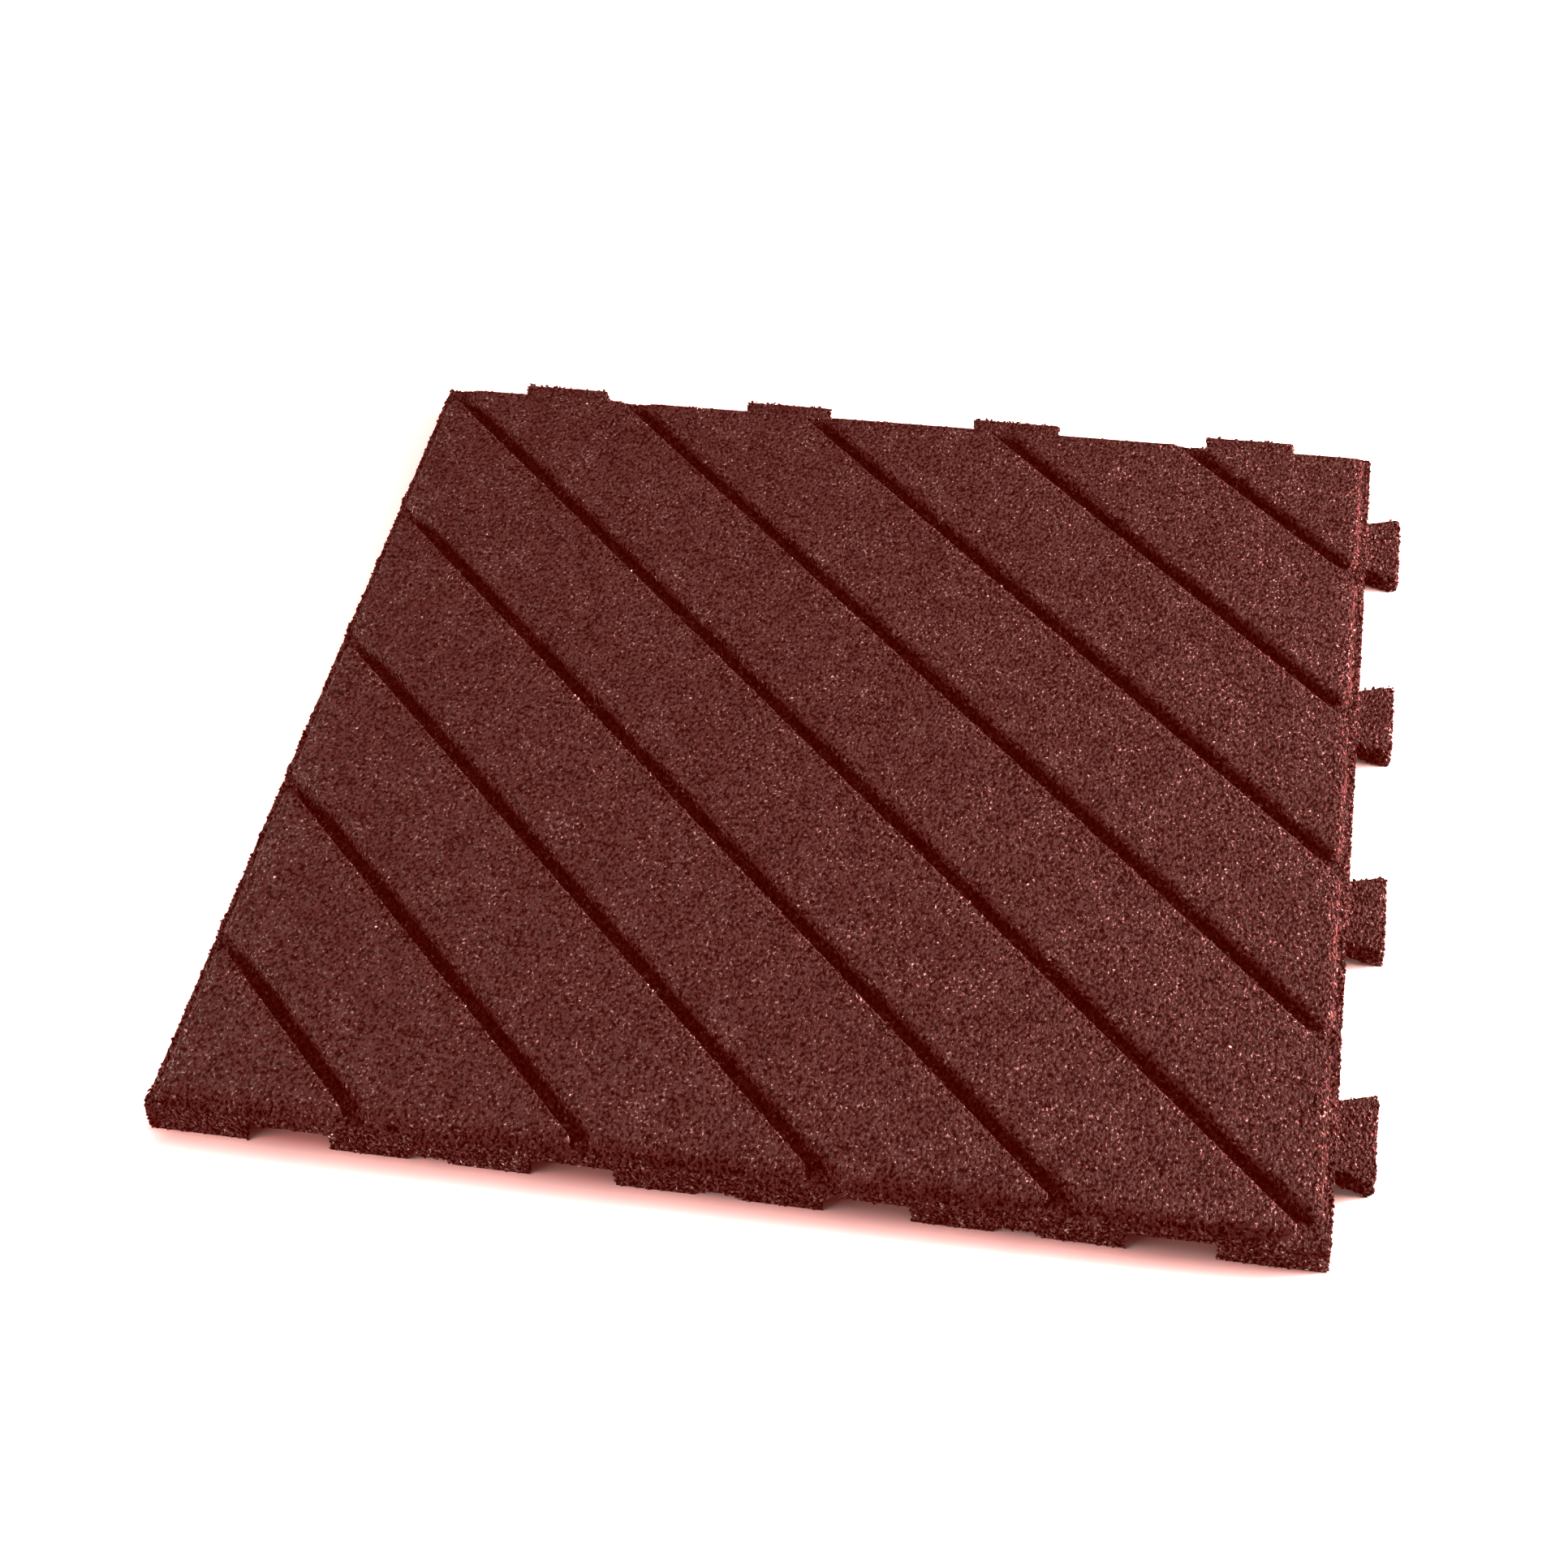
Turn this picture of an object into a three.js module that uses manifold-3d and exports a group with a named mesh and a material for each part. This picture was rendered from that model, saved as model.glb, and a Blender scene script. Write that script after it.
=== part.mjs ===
// Interlocking rubber paver: one moulded slab of bonded rubber crumb.
// Millimetres, Z up. X runs along the back edge, Y from the pocketed front edge to the tabbed back edge.
// The slab is drawn about its own centre, then moved so that the origin is under the middle of its
// overall footprint, tabs included.
import * as THREE from 'three';
import { mergeVertices } from 'three/addons/utils/BufferGeometryUtils.js';
import Module from 'manifold-3d';

const wasm = await Module();
wasm.setup();

// slab
const slabSide = 500;
const slabThickness = 20;

// raised diagonal planks on the walking face
const planksPerEdge = 5;
const plankRise = 5;
const plankEdgeRadius = 1.2;
const plankCornerRadius = 3;
const grooveWidth = 8;

// dovetail tabs on the back and right edges
const tabsPerEdge = 4;
const tabReach = 16;
const tabTipWidth = 45.5;
const tabRootWidth = 35.5;
const tabThickness = 9.6;
const tabCornerRadius = 1.5;

// clearances between a tab and the pocket of the next slab
const pocketSideClearance = 0.75;
const pocketDepthClearance = 0.9;
const pocketHeadClearance = 0.4;

// shallow drainage channels across the underside
const channelWidth = 20;
const channelRoofWidth = 14;
const channelDepth = 2.4;

// mesh detail
const arcSteps = 3;
const edgeSteps = 3;

// how far one solid runs into the next before the two are joined or cut
const overlap = 2;

const halfSide = slabSide / 2;
const ledgeHeight = slabThickness - plankRise;
// around the rim the planks stop short by half a groove, so two slabs meet in a full one
const ledgeWidth = grooveWidth / 2;
const plankField = halfSide - ledgeWidth;
const groovePitch = slabSide / planksPerEdge;
const halfGrooveAlongEdge = grooveWidth * Math.SQRT1_2;
const tabPitch = slabSide / tabsPerEdge;

function toSolid(geometry) {
  geometry.deleteAttribute('normal');
  geometry.deleteAttribute('uv');
  const merged = mergeVertices(geometry, 1e-4);
  const vertProperties = new Float32Array(merged.attributes.position.array);
  const triVerts = new Uint32Array(merged.index.array);
  const mesh = new wasm.Mesh({ numProp: 3, vertProperties, triVerts });
  return new wasm.Manifold(mesh);
}

function toGeometry(solid) {
  const mesh = solid.getMesh();
  const geometry = new THREE.BufferGeometry();
  geometry.setAttribute('position', new THREE.BufferAttribute(mesh.vertProperties, 3));
  geometry.setIndex(new THREE.BufferAttribute(mesh.triVerts, 1));
  const faceted = geometry.toNonIndexed();
  faceted.computeVertexNormals();
  return faceted;
}

// outline through the corners, each one rounded by its own radius, or left sharp where that is 0
function roundedShape(corners, radii) {
  const points = [];
  corners.forEach((corner, i) => {
    const radius = radii[i];
    if (radius === 0) {
      points.push(corner);
      return;
    }
    const before = corners[(i + corners.length - 1) % corners.length];
    const after = corners[(i + 1) % corners.length];
    const back = before.clone().sub(corner).normalize();
    const ahead = after.clone().sub(corner).normalize();
    const halfAngle = Math.acos(THREE.MathUtils.clamp(back.dot(ahead), -1, 1)) / 2;
    const setback = radius / Math.tan(halfAngle);
    const start = corner.clone().addScaledVector(back, setback);
    const end = corner.clone().addScaledVector(ahead, setback);
    const towardsCentre = back.clone().add(ahead).normalize();
    const centre = corner.clone().addScaledVector(towardsCentre, radius / Math.sin(halfAngle));
    const from = start.clone().sub(centre).angle();
    const turn = Math.PI - 2 * halfAngle;
    const way = back.cross(ahead) < 0 ? 1 : -1;
    for (let step = 0; step <= arcSteps; step += 1) {
      const angle = from + way * turn * step / arcSteps;
      const spoke = new THREE.Vector2(Math.cos(angle), Math.sin(angle));
      points.push(centre.clone().addScaledVector(spoke, radius));
    }
  });
  return new THREE.Shape(points);
}

// the slab up to its ledge
function slabBody() {
  const geometry = new THREE.BoxGeometry(slabSide, slabSide, ledgeHeight);
  geometry.translate(0, 0, ledgeHeight / 2);
  return toSolid(geometry);
}

// corners of the part of the plank field that lies between two diagonals x + y = low and x + y = high
function plankCorners(low, high) {
  const square = [
    new THREE.Vector2(-plankField, -plankField),
    new THREE.Vector2(plankField, -plankField),
    new THREE.Vector2(plankField, plankField),
    new THREE.Vector2(-plankField, plankField),
  ];
  const keepAbove = clipDiagonal(square, low, 1);
  return clipDiagonal(keepAbove, high, -1);
}

function clipDiagonal(points, limit, side) {
  const kept = [];
  points.forEach((point, i) => {
    const next = points[(i + 1) % points.length];
    const here = side * (point.x + point.y - limit);
    const there = side * (next.x + next.y - limit);
    if (here >= 0) {
      kept.push(point.clone());
    }
    if (here * there < 0) {
      kept.push(point.clone().lerp(next, here / (here - there)));
    }
  });
  return kept;
}

// one raised plank with a rounded upper edge; its foot is buried in the slab
function plank(corners) {
  const inner = insetCorners(corners, plankEdgeRadius);
  const shape = roundedShape(inner, inner.map(() => plankCornerRadius - plankEdgeRadius));
  const foot = ledgeHeight - plankEdgeRadius - overlap;
  const depth = slabThickness - foot - 2 * plankEdgeRadius;
  const geometry = new THREE.ExtrudeGeometry(shape, {
    depth,
    bevelEnabled: true,
    bevelThickness: plankEdgeRadius,
    bevelSize: plankEdgeRadius,
    bevelSegments: edgeSteps,
    steps: 1,
    curveSegments: 1,
  });
  geometry.translate(0, 0, foot + plankEdgeRadius);
  return toSolid(geometry);
}

// a convex outline moved inwards by the same distance on every side
function insetCorners(corners, distance) {
  return corners.map((corner, i) => {
    const before = corners[(i + corners.length - 1) % corners.length];
    const after = corners[(i + 1) % corners.length];
    const back = before.clone().sub(corner).normalize();
    const ahead = after.clone().sub(corner).normalize();
    const sine = Math.abs(back.cross(ahead));
    return corner.clone()
      .addScaledVector(back, distance / sine)
      .addScaledVector(ahead, distance / sine);
  });
}

// dovetail seen in plan, root on y = 0 and tip towards +Y, with a stub below the root
function dovetail(rootWidth, tipWidth, reach, height, stub) {
  const corners = [
    new THREE.Vector2(-rootWidth / 2, -stub),
    new THREE.Vector2(rootWidth / 2, -stub),
    new THREE.Vector2(rootWidth / 2, 0),
    new THREE.Vector2(tipWidth / 2, reach),
    new THREE.Vector2(-tipWidth / 2, reach),
    new THREE.Vector2(-rootWidth / 2, 0),
  ];
  const radii = [0, 0, 0, tabCornerRadius, tabCornerRadius, 0];
  const shape = roundedShape(corners, radii);
  return new THREE.ExtrudeGeometry(shape, { depth: height, bevelEnabled: false, steps: 1 });
}

function tab(turn, along) {
  const geometry = dovetail(tabRootWidth, tabTipWidth, tabReach, tabThickness, overlap);
  geometry.translate(-along, halfSide, 0);
  geometry.rotateZ(turn);
  return toSolid(geometry);
}

// the pocket is the tab grown by its clearances and cut inwards from the opposite edge
function pocket(turn, along) {
  const flare = (tabTipWidth - tabRootWidth) / tabReach;
  const depth = tabReach + pocketDepthClearance;
  const mouth = tabRootWidth + 2 * pocketSideClearance;
  const back = mouth + flare * depth;
  const height = tabThickness + pocketHeadClearance + overlap;
  const geometry = dovetail(mouth, back, depth, height, overlap);
  geometry.translate(-along, -halfSide, -overlap);
  geometry.rotateZ(turn);
  return toSolid(geometry);
}

// one shallow channel right across the underside, narrower at its roof; the cutter starts below the slab
function channel(turn, along) {
  const length = slabSide + 2 * overlap;
  const cutterWidth = 2 * channelWidth - channelRoofWidth;
  const shape = new THREE.Shape([
    new THREE.Vector2(-cutterWidth / 2, -channelDepth),
    new THREE.Vector2(cutterWidth / 2, -channelDepth),
    new THREE.Vector2(channelRoofWidth / 2, channelDepth),
    new THREE.Vector2(-channelRoofWidth / 2, channelDepth),
  ]);
  const geometry = new THREE.ExtrudeGeometry(shape, { depth: length, bevelEnabled: false, steps: 1 });
  geometry.rotateX(Math.PI / 2);
  geometry.translate(along, length / 2, 0);
  geometry.rotateZ(turn);
  return toSolid(geometry);
}

function buildPaver() {
  let solid = slabBody();
  const grooves = 2 * planksPerEdge - 1;
  for (let i = 0; i <= grooves; i += 1) {
    const first = i === 0;
    const last = i === grooves;
    const low = first ? -slabSide : (i - planksPerEdge) * groovePitch + halfGrooveAlongEdge;
    const high = last ? slabSide : (i + 1 - planksPerEdge) * groovePitch - halfGrooveAlongEdge;
    solid = solid.add(plank(plankCorners(low, high)));
  }
  for (let i = 0; i < tabsPerEdge; i += 1) {
    const along = (i + 0.5) * tabPitch - halfSide;
    solid = solid.add(tab(0, along));
    solid = solid.add(tab(-Math.PI / 2, along));
    solid = solid.subtract(pocket(0, along));
    solid = solid.subtract(pocket(-Math.PI / 2, along));
  }
  for (let i = 1; i < tabsPerEdge; i += 1) {
    const along = i * tabPitch - halfSide;
    solid = solid.subtract(channel(0, along));
    solid = solid.subtract(channel(Math.PI / 2, along));
  }
  return solid;
}

const crumbRubber = new THREE.MeshStandardMaterial({ color: 0x652a28, roughness: 0.95, metalness: 0 });
crumbRubber.name = 'crumb_rubber';

const paver = new THREE.Mesh(toGeometry(buildPaver()), crumbRubber);
paver.name = 'paver';
paver.position.set(-tabReach / 2, -tabReach / 2, 0);

const root = new THREE.Group();
root.name = 'interlocking_rubber_paver';
root.add(paver);

export default root;
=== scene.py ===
import math
import bmesh
import bpy
import numpy as np
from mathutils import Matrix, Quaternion, Vector


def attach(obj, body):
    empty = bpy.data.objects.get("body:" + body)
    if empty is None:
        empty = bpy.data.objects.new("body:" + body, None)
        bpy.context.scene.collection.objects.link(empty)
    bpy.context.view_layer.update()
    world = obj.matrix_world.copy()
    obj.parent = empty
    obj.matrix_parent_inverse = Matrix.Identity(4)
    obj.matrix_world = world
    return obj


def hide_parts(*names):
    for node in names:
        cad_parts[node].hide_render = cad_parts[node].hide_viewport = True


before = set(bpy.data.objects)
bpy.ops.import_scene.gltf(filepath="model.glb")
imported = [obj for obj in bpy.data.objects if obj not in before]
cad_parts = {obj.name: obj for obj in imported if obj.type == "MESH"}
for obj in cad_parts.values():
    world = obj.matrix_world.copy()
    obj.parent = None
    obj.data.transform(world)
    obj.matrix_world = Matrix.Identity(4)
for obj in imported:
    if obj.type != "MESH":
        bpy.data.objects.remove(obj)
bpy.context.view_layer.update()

mm = 0.001

# heights of the moulded levels, as in the CAD
levels = {
    "tread": 20 * mm,      # top of the planks
    "ledge": 15 * mm,      # rim ledge and groove floors
    "tab": 9.6 * mm,       # top of the dovetail tabs
}


# small helpers

def linkPiece(name, data):
    piece = bpy.data.objects.new(name, data)
    bpy.context.scene.collection.objects.link(piece)
    return piece


def applyModifiers(piece):
    evaluated = piece.evaluated_get(bpy.context.evaluated_depsgraph_get())
    finished = bpy.data.meshes.new_from_object(evaluated)
    old = piece.data
    piece.modifiers.clear()
    piece.data = finished
    bpy.data.meshes.remove(old)


def vertexArray(mesh, field):
    values = np.empty(len(mesh.vertices) * 3, np.float32)
    mesh.vertices.foreach_get(field, values)
    return values.reshape(-1, 3)


def addPointValues(mesh, name, values):
    attribute = mesh.attributes.new(name, "FLOAT", "POINT")
    attribute.data.foreach_set("value", values.astype(np.float32))


def addNode(tree, kind, place, **settings):
    node = tree.nodes.new(kind)
    node.location = place
    for key, value in settings.items():
        setattr(node, key, value)
    return node


# links another node's output to the socket, or sets the socket's own value
def feed(tree, socket, value):
    if isinstance(value, bpy.types.NodeSocket):
        tree.links.new(value, socket)
    else:
        socket.default_value = value


def mathNode(tree, operation, place, *values):
    node = addNode(tree, "ShaderNodeMath", place, operation=operation)
    for socket, value in zip(node.inputs, values):
        feed(tree, socket, value)
    return node.outputs[0]


def vectorNode(tree, operation, place, *values):
    node = addNode(tree, "ShaderNodeVectorMath", place, operation=operation)
    for socket, value in zip(node.inputs, values):
        feed(tree, socket, value)
    return node.outputs[0]


def mixColor(tree, place, factor, first, second):
    node = addNode(tree, "ShaderNodeMix", place, data_type="RGBA")
    for index, value in ((0, factor), (6, first), (7, second)):
        feed(tree, node.inputs[index], value)
    return node.outputs[2]


def splitColor(tree, place, color):
    node = addNode(tree, "ShaderNodeSeparateColor", place)
    tree.links.new(color, node.inputs[0])
    return node.outputs


# runs smoothly from outLow at low to outHigh at high
def ramp(tree, place, value, low, high, outLow=0.0, outHigh=1.0):
    node = addNode(tree, "ShaderNodeMapRange", place, interpolation_type="SMOOTHSTEP")
    given = {"Value": value, "From Min": low, "From Max": high, "To Min": outLow, "To Max": outHigh}
    for key, number in given.items():
        feed(tree, node.inputs[key], number)
    return node.outputs["Result"]


def objectPlace(tree, place):
    return addNode(tree, "ShaderNodeTexCoord", place).outputs["Object"]


# crumb grain, shared by the slab and the loose crumbs: packed shreds with painted shade in the gaps
# between them, painted light on their crests, and pale ends that are partly painted highlights

grainLook = {
    "stretch": (1.1, 0.8, 1),        # the shreds lie a little longer from front to back
    "tear": 1.2 * mm,                # how far their outlines are bent
    # fineness in crumb sizes, and detail, of each noise
    "tearNoise": (0.9, 2),
    "bitNoise": (0.95, 1.5),
    "fineNoise": (2.2, 2),
    "dabNoise": (1.15, 1),
    "patchNoise": (0.09, 2),
    # shares in how far a spot stands up
    "dome": 0.22,
    "patch": 0.12,
    "fine": 0.3,
    "step": 0.2,                     # between one crumb and the next
    "wearGaps": 0.1,                 # how much a worn edge lifts the level of the gaps
    "gapBlur": (0.06, 0.04),         # above and below that level
    # tone by how far a spot stands up: painted light on the crests and painted shade in the hollows
    "toneRange": (0.36, 0.68),
    "ownTone": 0.4,                  # a crumb's own share in its tone
    "patchFlecks": 0.25,
    "fleckBlur": 0.07,
    "fleckStand": (0.42, 0.55),      # flecks are only on spots that stand up
    "roughest": 0.95,
    "roughSpread": 0.6,
}


def makeCrumbGrain(look):
    group = bpy.data.node_groups.new("crumbGrain", "ShaderNodeTree")
    for way, kind, names in (
        ("INPUT", "NodeSocketFloat", ("Crumb Size", "Pit Level", "Fleck Level", "Wear")),
        ("INPUT", "NodeSocketColor", ("Dark And Shaded Rubber", "Light And Lit Rubber", "Gap Shade Color", "Fleck And Highlight Color")),
        ("OUTPUT", "NodeSocketColor", ("Color",)),
        ("OUTPUT", "NodeSocketFloat", ("Roughness", "Height")),
    ):
        for name in names:
            group.interface.new_socket(name=name, in_out=way, socket_type=kind)

    given = addNode(group, "NodeGroupInput", (-1800, 0)).outputs
    out = addNode(group, "NodeGroupOutput", (1400, 0)).inputs
    place = objectPlace(group, (-1800, 600))
    place = vectorNode(group, "MULTIPLY", (-1600, 600), place, look["stretch"])
    perMetre = mathNode(group, "DIVIDE", (-1500, 0), 1.0, given["Crumb Size"])

    def noise(kind, spot, vector=place):
        fineness, detail = kind
        node = addNode(group, "ShaderNodeTexNoise", spot)
        node.inputs["Detail"].default_value = detail
        group.links.new(vector, node.inputs["Vector"])
        scale = mathNode(group, "MULTIPLY", (spot[0] - 200, spot[1]), perMetre, fineness)
        group.links.new(scale, node.inputs["Scale"])
        return node.outputs

    # bend the cells so that the crumbs look torn, not cut
    bend = noise(look["tearNoise"], (-1400, 400))["Color"]
    torn = vectorNode(group, "MULTIPLY_ADD", (-1200, 400), bend, (look["tear"],) * 3, place)

    crumb = addNode(group, "ShaderNodeTexVoronoi", (-1000, 100), feature="F1")
    group.links.new(torn, crumb.inputs["Vector"])
    group.links.new(perMetre, crumb.inputs["Scale"])
    crumbRandom = splitColor(group, (-800, 100), crumb.outputs["Color"])
    bits = noise(look["bitNoise"], (-1000, -300), torn)["Fac"]
    fine = noise(look["fineNoise"], (-1000, -600))["Fac"]
    dab = splitColor(group, (-800, -900), noise(look["dabNoise"], (-1000, -900), torn)["Color"])[0]

    # how far a spot stands up: 0.5 is the middle of the grain, and some patches are coarser and paler
    patch = noise(look["patchNoise"], (-1000, -1200))["Fac"]
    patch = mathNode(group, "SUBTRACT", (-800, -1200), patch, 0.5)
    dome, distance = look["dome"], crumb.outputs["Distance"]
    stand = mathNode(group, "MULTIPLY_ADD", (-750, -100), distance, -dome, dome / 2)
    stand = mathNode(group, "ADD", (-600, -100), stand, bits)
    stand = mathNode(group, "MULTIPLY_ADD", (-450, -100), patch, look["patch"], stand)
    stand = mathNode(group, "SUBTRACT", (-400, -250), stand, look["fine"] / 2)
    stand = mathNode(group, "MULTIPLY_ADD", (-300, -100), fine, look["fine"], stand)

    # gaps are where it is lowest, more of them where the edge is worn; they are coloured with a painted
    # shade
    more, (above, below) = look["wearGaps"], look["gapBlur"]
    level = mathNode(group, "MULTIPLY_ADD", (-600, 300), given["Wear"], more, given["Pit Level"])
    gapFrom = mathNode(group, "ADD", (-450, 300), level, above)
    gapTo = mathNode(group, "SUBTRACT", (-450, 200), level, below)
    shadedGap = ramp(group, (-300, 300), stand, gapFrom, gapTo)

    # each crumb has its own tone; the rest of its tone is a painted light and shade, lighter where the
    # grain stands up and darker where it is low; some ends are pale
    own = look["ownTone"]
    tone = ramp(group, (-150, -100), stand, *look["toneRange"])
    tone = mathNode(group, "MULTIPLY", (0, -250), tone, 1 - own)
    tone = mathNode(group, "MULTIPLY_ADD", (0, -100), crumbRandom[0], own, tone)
    toned = mixColor(group, (150, -100), tone, given["Dark And Shaded Rubber"], given["Light And Lit Rubber"])
    fewer = -look["patchFlecks"]
    # pale flecks, partly pale crumb ends and partly painted highlights, only where the grain stands up
    fleckFrom = mathNode(group, "MULTIPLY_ADD", (-600, -700), patch, fewer, given["Fleck Level"])
    fleckTo = mathNode(group, "ADD", (-450, -700), fleckFrom, look["fleckBlur"])
    fleckAndHighlight = ramp(group, (-300, -700), dab, fleckFrom, fleckTo)
    raised = ramp(group, (-300, -500), stand, *look["fleckStand"])
    fleckAndHighlight = mathNode(group, "MULTIPLY", (-150, -700), fleckAndHighlight, raised)
    color = mixColor(group, (350, -100), fleckAndHighlight, toned, given["Fleck And Highlight Color"])
    color = mixColor(group, (550, 0), shadedGap, color, given["Gap Shade Color"])
    group.links.new(color, out["Color"])

    smoother = -look["roughSpread"]
    rough = mathNode(group, "MULTIPLY_ADD", (350, -400), crumbRandom[1], smoother, look["roughest"])
    group.links.new(rough, out["Roughness"])
    height = mathNode(group, "MULTIPLY_ADD", (350, 500), crumbRandom[2], look["step"], stand)
    group.links.new(height, out["Height"])
    return group


rubberFinish = {
    "crumbSize": 1.6 * mm,
    "pitLevel": 0.4,
    "fleckLevel": 0.625,
    # the dark and light ends of the tone, which also carry painted shade in hollows and painted light
    # on crests
    "dark": (0.03, 0.01, 0.01, 1),
    "light": (0.172, 0.057, 0.057, 1),
    # the gaps between crumbs get this painted shade
    "paintedGapShade": (0.003, 0.001, 0.001, 1),
    # pale flecks, partly a painted highlight
    "fleckAndHighlight": (0.4, 0.228, 0.22, 1),
    "relief": 2.6,                    # how far the bumps stand up, in crumb sizes
    "shine": 0.15,
    "shineColor": (1, 0.42, 0.4, 1),
}

# loose crumbs have their tones from their own attribute, and bright ones are paler as well
looseFinish = {**rubberFinish, "pitLevel": 0.3, "relief": 0.5, "paler": 1.6}


# the colour times a crumb's tone, with green and blue rising faster than red
def crumbColor(tree, color, paler):
    tone = addNode(tree, "ShaderNodeAttribute", (-200, 300), attribute_name="crumbTone").outputs["Fac"]
    pale = mathNode(tree, "POWER", (0, 400), tone, paler)
    channels = addNode(tree, "ShaderNodeCombineXYZ", (100, 300))
    for socket, share in zip(channels.inputs, (tone, pale, pale)):
        tree.links.new(share, socket)
    return vectorNode(tree, "MULTIPLY", (200, 200), color, channels.outputs[0])


def makeRubber(name, finish):
    material = bpy.data.materials.new(name)
    material.use_nodes = True
    tree = material.node_tree
    tree.nodes.clear()
    shader = addNode(tree, "ShaderNodeBsdfPrincipled", (600, 0))
    shader.inputs["Specular IOR Level"].default_value = finish["shine"]
    shader.inputs["Specular Tint"].default_value = finish["shineColor"]
    output = addNode(tree, "ShaderNodeOutputMaterial", (900, 0))
    tree.links.new(shader.outputs[0], output.inputs[0])
    grain = addNode(tree, "ShaderNodeGroup", (-200, 0), node_tree=crumbGrain)
    for socket, value in (
        ("Crumb Size", "crumbSize"), ("Pit Level", "pitLevel"), ("Fleck Level", "fleckLevel"),
        ("Dark And Shaded Rubber", "dark"), ("Light And Lit Rubber", "light"),
        ("Gap Shade Color", "paintedGapShade"), ("Fleck And Highlight Color", "fleckAndHighlight"),
    ):
        grain.inputs[socket].default_value = finish[value]
    color = grain.outputs["Color"]
    if "paler" in finish:
        color = crumbColor(tree, color, finish["paler"])
    else:
        wear = addNode(tree, "ShaderNodeAttribute", (-400, 300), attribute_name="edgeWear")
        tree.links.new(wear.outputs["Fac"], grain.inputs["Wear"])
    tree.links.new(color, shader.inputs["Base Color"])
    tree.links.new(grain.outputs["Roughness"], shader.inputs["Roughness"])
    bump = addNode(tree, "ShaderNodeBump", (300, -300))
    bump.inputs["Distance"].default_value = finish["relief"] * finish["crumbSize"]
    tree.links.new(grain.outputs["Height"], bump.inputs["Height"])
    tree.links.new(bump.outputs[0], shader.inputs["Normal"])
    return material


crumbGrain = makeCrumbGrain(grainLook)
rubberMaterial = makeRubber("crumb_rubber_skin", rubberFinish)
crumbMaterial = makeRubber("loose_crumb_rubber", looseFinish)
print("materials made")


# the moulding: how the real slab strays from the round sizes of the CAD

moulding = {
    "side": 500 * mm,
    "planksPerEdge": 5,
    "middle": -8 * mm,               # of the slab without its tabs, along x and along y
    "plankField": 246 * mm,          # from the middle to the outside of the planks
    # a little larger towards the back and the right, most at the tabs
    "grow": (0.0029, 0.001),
    "growFrom": (-155 * mm, -258 * mm),
    "tabsFrom": 242 * mm,
    "tabBlend": 2 * mm,
    "tabGrow": (0.06, 0.03),
    "tabPitch": 125 * mm,
    "tabMiddle": 54.5 * mm,
    "tabSpread": 0.035,
    # worn shoulders round the outside of the planks
    "softRim": 5 * mm,
    "softDrop": 1.1 * mm,
    # the grooves, by distance from the middle of each
    "slack": 0.5 * mm,               # how far under the ledge they still count
    "grooveHalf": 4 * mm,
    "wall": (2 * mm, 6 * mm),        # where its walls and plank edges lie
    "leanFade": 3 * mm,              # beyond the wall
    "draft": 1.0 * mm,               # how far the foot of the far wall comes forward
    "narrow": 0.3 * mm,              # how far each edge leans over the groove
}


# distance from the middle of the nearest groove, positive on its far side
def grooveDistance(places):
    pitch = moulding["side"] / moulding["planksPerEdge"]
    diagonal = places[..., 0] + places[..., 1] - 2 * moulding["middle"]
    return ((diagonal + pitch / 2) % pitch - pitch / 2) / math.sqrt(2)


def soften(points):
    low, high = moulding["wall"]
    fade = moulding["leanFade"]
    across = grooveDistance(points)
    away = abs(across)
    above = np.clip((points[..., 2] - levels["ledge"]) / (levels["tread"] - levels["ledge"]), 0, 1)
    raised = points[..., 2] > levels["ledge"] - moulding["slack"]
    forward = (1 - above) * raised * np.clip(across / moulding["grooveHalf"], 0, 1) * (across < high)
    lean = np.clip((high + fade - away) / fade, 0, 1) * (away > low) * raised * np.sign(across)
    shift = forward * moulding["draft"] + lean * moulding["narrow"]

    sideways, back = points[..., 0] - moulding["middle"], points[..., 1] - moulding["middle"]
    fromMiddle = np.maximum(abs(sideways), -back)      # the back shoulder is crisp
    worn = np.clip(1 - (moulding["plankField"] - fromMiddle) / moulding["softRim"], 0, 1) ** 2
    points[..., :2] -= (shift / math.sqrt(2))[..., None]
    points[..., 2] -= worn * above * moulding["softDrop"]
    return points


def mould(points):
    points = soften(points)
    beyond = np.clip((points - moulding["tabsFrom"]) / moulding["tabBlend"], 0, 1)
    for axis in (0, 1):
        value = points[..., axis].copy()
        pitch = moulding["tabPitch"]
        fromMiddle = (value - moulding["tabMiddle"] + pitch / 2) % pitch - pitch / 2
        points[..., axis] += beyond[..., 1 - axis] * fromMiddle * moulding["tabSpread"]
        points[..., axis] += (value - moulding["growFrom"][axis]) * moulding["grow"][axis]
        points[..., axis] += np.maximum(value - moulding["tabsFrom"], 0) * moulding["tabGrow"][axis]
    return points


# the slab: the CAD solid, given a skin of fused crumbs

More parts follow.
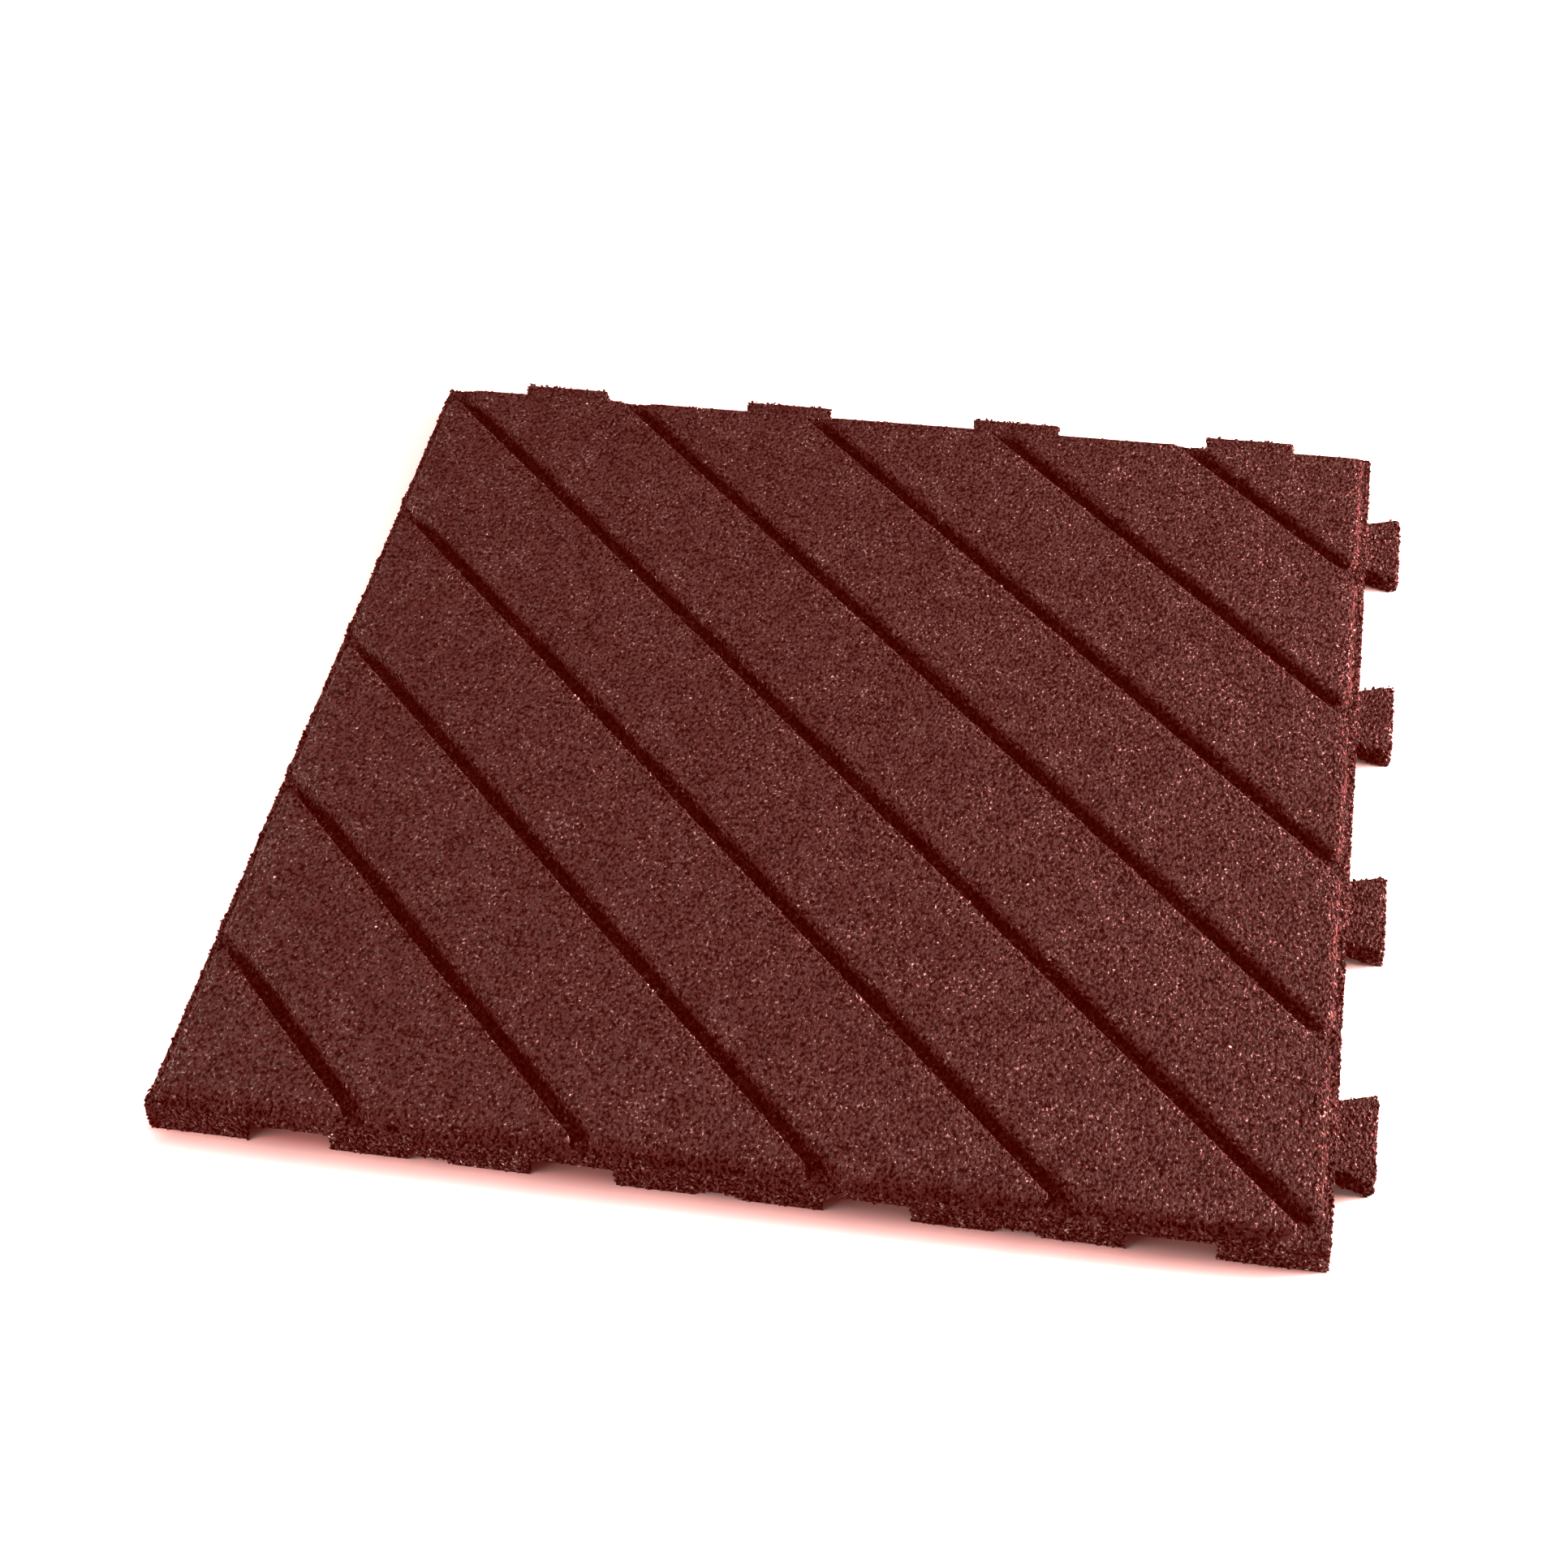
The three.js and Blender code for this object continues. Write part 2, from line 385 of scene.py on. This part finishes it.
slabSkin = {
    "weld": 0.01 * mm,
    "voxel": 1.0 * mm,
    "humpSize": 2.6 * mm,      # one crumb
    "humpContrast": 1.2,
    "lumpSize": 9 * mm,        # slow unevenness of the press
    "relief": {                # how deep crumbs and unevenness go, by zone
        "tread": (0.12 * mm, 0.08 * mm),
        "shoulder": (0.3 * mm, 0.1 * mm),
        "farShoulder": (0.45 * mm, 0.2 * mm),
        "tab": (0.35 * mm, 0.15 * mm),
        "rough": (1.1 * mm, 0.3 * mm),
    },
    # how the zones are told apart
    "footing": 0.3 * mm,       # up to here the skin stays flat on the floor
    "treadDepth": 0.6 * mm,
    "shoulderDepth": 2.5 * mm,
    "tabDepth": 0.4 * mm,
    "tabUp": 0.5,              # least upward share of a normal on top of a tab
    "restLevel": 0.3,          # share of the relief that sinks below the moulded surface
    "triangles": 190000,
    # across each groove, from its middle, and on the side faces
    "wear": {
        "from": 2.5 * mm, "most": 4.2 * mm, "to": 7.5 * mm,
        "groove": 0.05, "side": 0.8, "upright": 0.75,
    },
}


def skinZones(places, normals, skin):
    height, across = places[:, 2], grooveDistance(places)
    low, high = moulding["wall"]
    tread = height > levels["tread"] - skin["treadDepth"]
    upper = (height > levels["tread"] - skin["shoulderDepth"]) & ~tread
    farShoulder = upper & (across > low) & (across < high)
    tab = (abs(height - levels["tab"]) < skin["tabDepth"]) & (normals[:, 2] > skin["tabUp"])
    return {
        "tread": tread,
        "shoulder": upper & ~farShoulder,
        "farShoulder": farShoulder,
        "tab": tab,
        "rough": (height > skin["footing"]) & ~tread & ~upper & ~tab,
    }


# the plank edge on the far side of each groove is pitted, and the side faces are full of gaps
def edgeWear(places, normals, look):
    across = grooveDistance(places)
    rise = np.clip((across - look["from"]) / (look["most"] - look["from"]), 0, 1)
    fall = np.clip((look["to"] - across) / (look["to"] - look["most"]), 0, 1)
    side = (abs(normals[:, 2]) < look["upright"]) & (places[:, 2] < levels["ledge"])
    return np.maximum(np.minimum(rise, fall) * look["groove"], side * look["side"])


def makeSlab(skin):
    slab = linkPiece("rubber_slab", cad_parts["paver"].data.copy())
    welder = bmesh.new()
    welder.from_mesh(slab.data)
    bmesh.ops.remove_doubles(welder, verts=welder.verts, dist=skin["weld"])
    welder.to_mesh(slab.data)
    welder.free()

    remesh = slab.modifiers.new("even skin", "REMESH")
    remesh.mode = "VOXEL"
    remesh.voxel_size = skin["voxel"]
    applyModifiers(slab)

    # zones are told apart on the CAD's shape, before it is moulded
    places = vertexArray(slab.data, "co")
    zones = skinZones(places, vertexArray(slab.data, "normal"), skin)
    slab.data.vertices.foreach_set("co", mould(places.copy()).ravel())
    deepest = skin["relief"]["rough"]
    groups = [slab.vertex_groups.new(name=name) for name in ("humps", "lumps")]
    for zone, depths in skin["relief"].items():
        indices = np.flatnonzero(zones[zone]).tolist()
        for group, depth, most in zip(groups, depths, deepest):
            group.add(indices, depth / most, "REPLACE")

    # second cell distance less the first: each cell is a hump
    crumbs = bpy.data.textures.new("crumb humps", "VORONOI")
    crumbs.noise_scale = skin["humpSize"]
    crumbs.weight_1 = -1
    crumbs.weight_2 = 1
    crumbs.noise_intensity = skin["humpContrast"]
    press = bpy.data.textures.new("press lumps", "CLOUDS")
    press.noise_scale = skin["lumpSize"]
    for group, texture, depth in zip(groups, (crumbs, press), deepest):
        displace = slab.modifiers.new(group.name, "DISPLACE")
        displace.texture = texture
        displace.texture_coords = "LOCAL"
        displace.strength = depth
        displace.mid_level = skin["restLevel"]
        displace.vertex_group = group.name
    faces = sum(len(p.vertices) - 2 for p in slab.data.polygons)
    thin = slab.modifiers.new("thin out", "DECIMATE")
    thin.ratio = skin["triangles"] / faces
    applyModifiers(slab)
    slab.data.shade_smooth()

    wear = edgeWear(vertexArray(slab.data, "co"), vertexArray(slab.data, "normal"), skin["wear"])
    addPointValues(slab.data, "edgeWear", wear)
    slab.data.materials.clear()
    slab.data.materials.append(rubberMaterial)
    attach(slab, "root")
    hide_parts("paver")
    print("slab:", len(slab.data.polygons), "faces from", faces)


makeSlab(slabSkin)


# crumbs standing out of the skin

crumbKinds = {
    "tread_crumbs": {
        "zone": "tread",
        "perSquareMm": 0.045,
        "length": 2.0 * mm, "width": 1.3 * mm, "height": 0.7 * mm,
        "lift": -0.12 * mm, "tilt": 0.18, "jitter": 0.22,
        "tone": (0.6, 1.7), "seed": 11,
    },
    "rough_crumbs": {
        "zone": "rough",
        "perSquareMm": 0.075,
        "length": 2.0 * mm, "width": 1.4 * mm, "height": 0.9 * mm,
        "lift": -0.3 * mm, "tilt": 0.35, "jitter": 0.28,
        "tone": (0.5, 1.9), "seed": 12,
    },
    "rim_crumbs": {
        "zone": "side",
        "perSquareMm": 0.24,
        "length": 1.7 * mm, "width": 1.2 * mm, "height": 0.9 * mm,
        "lift": 0.1 * mm, "tilt": 0.4, "jitter": 0.3,
        "tone": (0.6, 2.3), "seed": 13,
    },
}

# what all the crumbs share
crumbRules = {
    "sizeSpread": 0.28,
    "lowest": 0.05 * mm,
    "overTread": 0.1 * mm,     # how far the highest reach above the tread
    # the side lights are strong, so crumbs along the left and right edges get a painted shade: a darker
    # tone
    "leftEdge": -252 * mm,
    "rightEdge": 236 * mm,
    "rightEdgeFrom": 10.5 * mm,
    "edgeShadeTone": 0.5,
}

# which triangles of the CAD belong to a zone, by the upward share of their normals
zoneRules = {
    "treadUp": 0.99, "treadDepth": 0.1 * mm,
    "sideUp": 0.1, "sideDepth": 0.5 * mm,
    "underUp": -0.5,
}


def slabTriangles():
    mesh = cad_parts["paver"].data
    mesh.calc_loop_triangles()
    corners = np.empty(len(mesh.loop_triangles) * 3, np.int32)
    mesh.loop_triangles.foreach_get("vertices", corners)
    return vertexArray(mesh, "co")[corners.reshape(-1, 3)].astype(float)


def unit(vectors):
    return vectors / np.linalg.norm(vectors, axis=-1, keepdims=True)


def zoneTriangles(triangles, zone):
    rules = zoneRules
    across = np.cross(triangles[:, 1] - triangles[:, 0], triangles[:, 2] - triangles[:, 0])
    normals = unit(across)
    up, height = normals[:, 2], triangles[:, :, 2].mean(axis=1)
    tread = (up > rules["treadUp"]) & (height > levels["tread"] - rules["treadDepth"])
    side = (abs(up) < rules["sideUp"]) & (height < levels["ledge"] - rules["sideDepth"])
    under = up < rules["underUp"]
    chosen = {"tread": tread, "side": side, "rough": ~tread & ~side & ~under}[zone]
    return triangles[chosen], normals[chosen], np.linalg.norm(across[chosen], axis=1) / 2


def unitBall():
    ball = bmesh.new()
    bmesh.ops.create_icosphere(ball, subdivisions=1, radius=1)
    points = np.array([vertex.co for vertex in ball.verts])
    faces = np.array([[vertex.index for vertex in face.verts] for face in ball.faces])
    ball.free()
    return points, faces


def makeCrumbs(name, kind, triangles):
    chance = np.random.default_rng(kind["seed"])
    faces, normals, areas = zoneTriangles(triangles, kind["zone"])
    count = int(areas.sum() / mm ** 2 * kind["perSquareMm"])
    pick = chance.choice(len(faces), count, p=areas / areas.sum())
    u, v = chance.random((2, count, 1))
    u, v = np.where(u + v > 1, 1 - u, u), np.where(u + v > 1, 1 - v, v)
    corner = faces[pick]
    centres = corner[:, 0] + u * (corner[:, 1] - corner[:, 0]) + v * (corner[:, 2] - corner[:, 0])
    up = unit(normals[pick] + chance.normal(0, kind["tilt"], (count, 3)))
    along = unit(np.cross(up, chance.normal(size=(count, 3))))
    across = np.cross(up, along)

    # a ball for each, torn and stretched along its own directions
    ballPoints, ballFaces = unitBall()
    jitter = kind["jitter"]
    torn = ballPoints * (1 + chance.uniform(-jitter, jitter, (count, len(ballPoints), 1)))
    size = np.array([kind["length"], kind["width"], kind["height"]]) / 2
    torn = torn * size * np.exp(chance.normal(0, crumbRules["sizeSpread"], (count, 1, 3)))
    points = (centres + normals[pick] * kind["lift"])[:, None, :]
    for axis, direction in enumerate((along, across, up)):
        points = points + torn[..., axis:axis + 1] * direction[:, None]
    points = mould(points)
    highest = levels["tread"] + crumbRules["overTread"]
    points[..., 2] = np.clip(points[..., 2], crumbRules["lowest"], highest)

    shells = ballFaces[None] + np.arange(count)[:, None, None] * len(ballPoints)
    mesh = bpy.data.meshes.new(name)
    mesh.from_pydata(points.reshape(-1, 3), [], shells.reshape(-1, 3))
    # crumbs along the left and right edges get a painted shade in their tone
    left = centres[:, 0] < crumbRules["leftEdge"]
    right = (centres[:, 0] > crumbRules["rightEdge"]) & (centres[:, 2] > crumbRules["rightEdgeFrom"])
    tones = chance.uniform(*kind["tone"], count) * np.where(left | right, crumbRules["edgeShadeTone"], 1)
    addPointValues(mesh, "crumbTone", np.repeat(tones, len(ballPoints)))
    mesh.materials.append(crumbMaterial)
    piece = linkPiece(name, mesh)
    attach(piece, "root")
    print(name + ":", count, "crumbs,", len(mesh.polygons), "triangles")


triangles = slabTriangles()
for name, kind in crumbKinds.items():
    makeCrumbs(name, kind, triangles)


# floor, light and camera

studio = {
    "floorSize": 16,
    "floorColor": (0.95, 0.73, 0.72, 1),
    "floorRoughness": 0.9,
    "floorShine": 0.1,
    # the floor under the slab and in its pockets has a painted shade, reddened as a painted bounce
    # light from the rubber above it
    "slabMiddle": (-8 * mm, -8 * mm, 0),
    "underShadeColor": (0.75, 0.33, 0.32, 1),
    "underShadeReach": (0.244, 0.253),
    # for the camera only the floor glows: not under the slab, faintly beside it and plain white far off
    "glowMiddle": (6 * mm, -8 * mm, 0),
    "glowColor": (1, 0.45, 0.44, 1),
    "floorGlow": 0.28,
    "nearGlow": (0.25, 0.274),
    "sweepGlow": 1.2,
    "farGlow": (0.9, 1.8),
    # the sky is dim for the light it gives and white for the camera
    "skyColor": (1, 0.84, 0.82, 1),
    "skyStrength": 0.28,
    "softboxes": {
        "left softbox": {"place": (-1.7, -1.2, 0.55), "size": (1.2, 0.9), "power": 27},
        "left rim light": {"place": (-1.6, 0.3, 0.04), "size": (0.7, 0.05), "power": 14},
        "right rim light": {"place": (1.4, 0.15, 0.13), "size": (0.7, 0.12), "power": 19},
        "right softbox": {"place": (1.25, 0.2, 0.42), "size": (0.9, 0.4), "power": 25},
    },
}


def cameraRay(tree):
    return addNode(tree, "ShaderNodeLightPath", (-600, 0)).outputs["Is Camera Ray"]


# distance from a middle, the same all along a square round it
def squareDistance(tree, middle, y):
    fromMiddle = vectorNode(tree, "SUBTRACT", (-1400, y), objectPlace(tree, (-1600, y)), middle)
    sides = vectorNode(tree, "ABSOLUTE", (-1200, y), fromMiddle)
    split = addNode(tree, "ShaderNodeSeparateXYZ", (-1000, y))
    tree.links.new(sides, split.inputs[0])
    return mathNode(tree, "MAXIMUM", (-800, y), split.outputs[0], split.outputs[1])


def makeFloor(look):
    half = look["floorSize"] / 2
    corners = [(-half, -half, 0), (half, -half, 0), (half, half, 0), (-half, half, 0)]
    mesh = bpy.data.meshes.new("floor")
    mesh.from_pydata(corners, [], [(0, 1, 2, 3)])
    material = bpy.data.materials.new("pale_floor")
    material.use_nodes = True
    tree = material.node_tree
    shader = tree.nodes["Principled BSDF"]
    # painted shade and painted red bounce light on the floor under the slab
    clear = ramp(tree, (-600, 300), squareDistance(tree, look["slabMiddle"], 300), *look["underShadeReach"])
    color = mixColor(tree, (-300, 300), clear, look["underShadeColor"], look["floorColor"])
    tree.links.new(color, shader.inputs["Base Color"])
    away = squareDistance(tree, look["glowMiddle"], -300)
    near = ramp(tree, (-600, -200), away, *look["nearGlow"], 0, look["floorGlow"])
    far = ramp(tree, (-600, -500), away, *look["farGlow"], 0, look["sweepGlow"])
    glow = mathNode(tree, "ADD", (-450, -300), near, far)
    glow = mathNode(tree, "MULTIPLY", (-300, 0), cameraRay(tree), glow)
    tree.links.new(glow, shader.inputs["Emission Strength"])
    shader.inputs["Emission Color"].default_value = look["glowColor"]
    shader.inputs["Roughness"].default_value = look["floorRoughness"]
    shader.inputs["Specular IOR Level"].default_value = look["floorShine"]
    mesh.materials.append(material)
    floor = linkPiece("floor", mesh)


def makeLights(look):
    for name, box in look["softboxes"].items():
        lamp = bpy.data.lights.new(name, "AREA")
        lamp.shape = "RECTANGLE"
        lamp.size, lamp.size_y = box["size"]
        lamp.energy = box["power"]
        softbox = linkPiece(name, lamp)
        softbox.location = box["place"]
        softbox.rotation_mode = "QUATERNION"
        softbox.rotation_quaternion = (-Vector(box["place"])).to_track_quat("-Z", "Y")
        softbox.visible_camera = False
    world = bpy.data.worlds.new("studio sky")
    world.use_nodes = True
    tree = world.node_tree
    background = tree.nodes["Background"]
    background.inputs["Color"].default_value = look["skyColor"]
    dim = look["skyStrength"]
    strength = mathNode(tree, "MULTIPLY_ADD", (-300, 0), cameraRay(tree), 1 - dim, dim)
    tree.links.new(strength, background.inputs["Strength"])
    bpy.context.scene.world = world


cameraView = {
    "place": (0.1798, -0.8941, 0.9283),
    "aim": (-0.0235, -0.0176, 0.0),
    "roll": -3.79,          # degrees
    "lens": 61.883,         # millimetres, as the sensor
    "sensor": 36,
    "clipStart": 0.05,
}


def makeCamera(shot):
    lens = bpy.data.cameras.new("camera")
    lens.lens = shot["lens"]
    lens.sensor_width = shot["sensor"]
    lens.clip_start = shot["clipStart"]
    camera = linkPiece("camera", lens)
    camera.location = shot["place"]
    sight = Vector(shot["aim"]) - Vector(shot["place"])
    turn = Quaternion((0, 0, 1), math.radians(shot["roll"]))
    camera.rotation_mode = "QUATERNION"
    camera.rotation_quaternion = sight.to_track_quat("-Z", "Y") @ turn
    bpy.context.scene.camera = camera


# the photograph is printed in two tones: red is always the same step above green, and black is deep red

printTones = {
    "black": 0.00001,
    "white": 0.4,            # what is this bright is printed white
    "toe": 1.5,              # how fast faint shades sink
    "knee": 0.004,           # below it
    "redStep": 53 / 255,
    "blueStep": -4 / 255,
    "blueStepTo": 0.5,
    "rubberRed": 3.0,        # how much redder than green the rubber is
    "floorRed": 1.35,        # and the floor
    "paleFrom": 0.17,        # from here on red is for the floor, where it is paler
    "paleTo": 0.3,
    "steps": (0.004, 0.008, 0.012, 0.016, 0.02, 0.025, 0.03, 0.036, 0.044, 0.055, 0.07, 0.09,
              0.12, 0.15, 0.18, 0.21, 0.24, 0.27, 0.3, 0.33, 0.36, 0.385),
}


# screen values and light, by the sRGB formulas
def screenTone(value):
    return 12.92 * value if value < 0.0031308 else 1.055 * value ** (1 / 2.4) - 0.055


def lightTone(value):
    value = min(max(value, 0), 1)
    return value / 12.92 if value < 0.04045 else ((value + 0.055) / 1.055) ** 2.4


def printedGreen(value):
    look = printTones
    share = value ** look["toe"] / (value ** look["toe"] + look["knee"] ** look["toe"])
    return value * share * (1 + (1 / look["white"] - 1) * min(value / look["white"], 1) ** 2)


def printedRed(value):
    look = printTones
    rubber = lightTone(screenTone(printedGreen(value / look["rubberRed"])) + look["redStep"])
    floor = lightTone(screenTone(printedGreen(value / look["floorRed"])) + look["redStep"])
    blend = min(max((value - look["paleFrom"]) / (look["paleTo"] - look["paleFrom"]), 0), 1)
    return rubber + (floor - rubber) * blend


def printedBlue(value):
    step = printTones["blueStep"] * (value < printTones["blueStepTo"])
    return lightTone(screenTone(printedGreen(value)) + step)


def tonePrint():
    view = bpy.context.scene.view_settings
    view.view_transform = "Standard"
    view.use_curve_mapping = True
    mapping = view.curve_mapping
    for curve, printed in zip(mapping.curves, (printedRed, printedGreen, printedBlue)):
        curve.points[0].location = (0, printed(printTones["black"]))
        curve.points[1].location = (printTones["white"], 1)
        for step in printTones["steps"]:
            curve.points.new(step, printed(step))
        for point in curve.points:
            point.handle_type = "VECTOR"
    mapping.update()


makeFloor(studio)
makeLights(studio)
makeCamera(cameraView)
tonePrint()
print("studio made")
